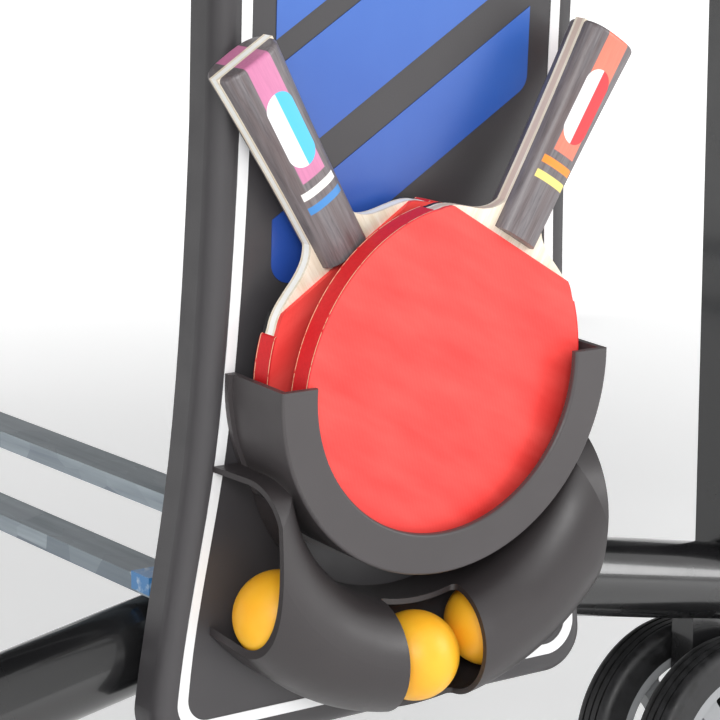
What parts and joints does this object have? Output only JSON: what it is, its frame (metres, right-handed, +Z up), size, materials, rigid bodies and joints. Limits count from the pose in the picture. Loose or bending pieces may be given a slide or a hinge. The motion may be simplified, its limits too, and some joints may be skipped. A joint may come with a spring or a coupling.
{
  "type": "ping pong table",
  "caption": "Rollaway folding ping pong table with side towers that hold bats and balls, galvanised cross rails, double wheels and a net.",
  "frame": {"origin": "on the floor, under the middle of the table", "axes": "+X along the table towards its right half, +Y across the table away from the tower shown, +Z up"},
  "size_m": [2.74, 1.848, 0.9165],
  "materials": {
    "tabletop": "satin paint",
    "grey_steel": "satin powder coat",
    "black_plastic": "matte",
    "galvanised": "galvanised",
    "black_steel": "gloss powder coat",
    "grey_plastic": "satin",
    "tyre": "matte",
    "charcoal_plastic": "fine grain",
    "white_trim": "satin",
    "blue_trim": "satin",
    "blade_wood": "lacquered",
    "red_rubber": "matte",
    "black_rubber": "matte",
    "edge_tape": "satin",
    "grip_wood": "satin",
    "ball": "satin",
    "net": "woven",
    "net_tape": "woven"
  },
  "bodies": {
    "chassis": {"ball_tube_far": "charcoal_plastic", "ball_tube_near": "charcoal_plastic", "base_tube_far": "black_steel", "base_tube_near": "black_steel", "bat_holder_far": "charcoal_plastic", "bat_holder_near": "charcoal_plastic", "centre_beam": "black_steel", "field_far": "blue_trim", "field_near": "blue_trim", "net": "net", "net_post_far": "black_steel", "net_post_near": "black_steel", "net_tape": "net_tape", "outline_far": "white_trim", "outline_near": "white_trim", "post_far_left": "black_steel", "post_far_right": "black_steel", "post_near_left": "black_steel", "post_near_right": "black_steel", "rail_clips": "blue_trim", "rail_lower": "galvanised", "rail_upper": "galvanised", "tower_plate_far": "black_steel", "tower_plate_near": "black_steel", "tower_shell_far": "charcoal_plastic", "tower_shell_near": "charcoal_plastic", "tube_caps_far": "black_plastic", "tube_caps_near": "black_plastic"},
    "half_left": {"apron_left": "grey_steel", "board_left": "tabletop"},
    "half_right": {"apron_right": "grey_steel", "board_right": "tabletop"},
    "ball_left_loose": {"ball_left": "ball"},
    "ball_middle_loose": {"ball_middle": "ball"},
    "ball_right_loose": {"ball_right": "ball"},
    "legs_left": {"feet_left": "black_plastic", "leg_frame_left": "grey_steel"},
    "legs_right": {"feet_right": "black_plastic", "leg_frame_right": "grey_steel"},
    "front_bat": {"front_bat_blade": "blade_wood", "front_bat_edge_tape": "edge_tape", "front_bat_grip": "grip_wood", "front_bat_rubber_back": "black_rubber", "front_bat_rubber_front": "red_rubber"},
    "rear_bat": {"rear_bat_blade": "blade_wood", "rear_bat_edge_tape": "edge_tape", "rear_bat_grip": "grip_wood", "rear_bat_rubber_back": "red_rubber", "rear_bat_rubber_front": "red_rubber"},
    "wheels_far_left": {"tyres_far_left": "tyre", "wheel_far_left": "grey_plastic"},
    "wheels_far_right": {"tyres_far_right": "tyre", "wheel_far_right": "grey_plastic"},
    "wheels_near_left": {"tyres_near_left": "tyre", "wheel_near_left": "grey_plastic"},
    "wheels_near_right": {"tyres_near_right": "tyre", "wheel_near_right": "grey_plastic"}
  },
  "joints": [
    {"name": "left_half_fold", "type": "hinge", "parent": "chassis", "child": "half_left", "pos_m": [-0.26, 0, 0.72], "axis": [0, 1, 0], "range_deg": [0, 88]},
    {"name": "left_leg_fold", "type": "hinge", "parent": "half_left", "child": "legs_left", "pos_m": [-1.15, 0, 0.717], "axis": [0, -1, 0], "range_deg": [0, 86]},
    {"name": "right_half_fold", "type": "hinge", "parent": "chassis", "child": "half_right", "pos_m": [0.26, 0, 0.72], "axis": [0, -1, 0], "range_deg": [0, 88]},
    {"name": "right_leg_fold", "type": "hinge", "parent": "half_right", "child": "legs_right", "pos_m": [1.15, 0, 0.717], "axis": [0, 1, 0], "range_deg": [0, 86]},
    {"name": "near_left_wheel_spin", "type": "hinge", "parent": "chassis", "child": "wheels_near_left", "pos_m": [-0.237, -0.658, 0.06], "axis": [0, 1, 0], "continuous": true},
    {"name": "near_right_wheel_spin", "type": "hinge", "parent": "chassis", "child": "wheels_near_right", "pos_m": [0.237, -0.658, 0.06], "axis": [0, 1, 0], "continuous": true},
    {"name": "far_left_wheel_spin", "type": "hinge", "parent": "chassis", "child": "wheels_far_left", "pos_m": [-0.237, 0.658, 0.06], "axis": [0, 1, 0], "continuous": true},
    {"name": "far_right_wheel_spin", "type": "hinge", "parent": "chassis", "child": "wheels_far_right", "pos_m": [0.237, 0.658, 0.06], "axis": [0, 1, 0], "continuous": true},
    {"name": "front_bat_lift", "type": "slide", "parent": "chassis", "child": "front_bat", "axis": [0, -0.0523, 0.9986], "range_m": [0, 0.12]},
    {"name": "rear_bat_lift", "type": "slide", "parent": "chassis", "child": "rear_bat", "axis": [0, -0.0523, 0.9986], "range_m": [0, 0.12]},
    {"name": "ball_middle_take", "type": "slide", "parent": "chassis", "child": "ball_middle_loose", "axis": [0, -0.9986, -0.0523], "range_m": [0, 0.08]},
    {"name": "ball_left_roll", "type": "slide", "parent": "chassis", "child": "ball_left_loose", "axis": [-0.511, -0.045, 0.8584], "range_m": [0, 0.049]},
    {"name": "ball_right_roll", "type": "slide", "parent": "chassis", "child": "ball_right_loose", "axis": [0.8, -0.0314, 0.5992], "range_m": [0, 0.044]}
  ],
  "couplings": [
    {"joint": "left_leg_fold", "follows": "left_half_fold", "ratio": 0.97727},
    {"joint": "right_leg_fold", "follows": "right_half_fold", "ratio": 0.97727}
  ]
}
